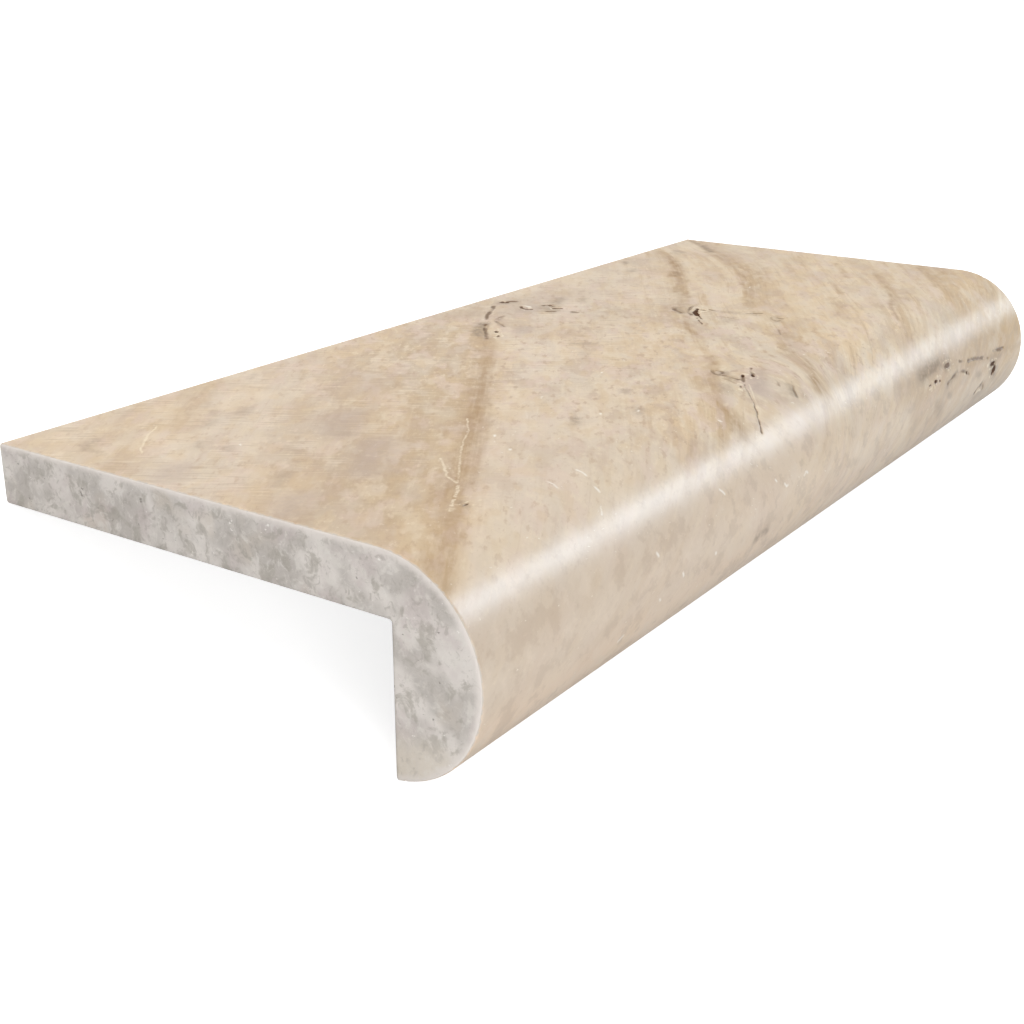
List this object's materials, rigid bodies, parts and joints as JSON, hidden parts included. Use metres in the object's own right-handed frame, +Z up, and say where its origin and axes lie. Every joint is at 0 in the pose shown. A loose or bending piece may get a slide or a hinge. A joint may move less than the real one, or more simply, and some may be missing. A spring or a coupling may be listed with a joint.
{
  "type": "pool coping stone",
  "caption": "Drop-face travertine pool coping stone: a flat slab with a deep rounded nose along its front, open underneath behind the nose.",
  "frame": {"origin": "middle of the bottom of the box that holds the stone as it lies unheld on a level floor", "axes": "+X along the length, -Y to the front, which the rounded nose faces, +Z up. The stone is tipped back by 16.8 degrees about X: turned level again, its top face looks along +Z."},
  "size_m": [0.675, 0.2846, 0.0967],
  "materials": {
    "travertine": "satin"
  },
  "bodies": {
    "root": {"coping_stone": "travertine"}
  },
  "joints": []
}
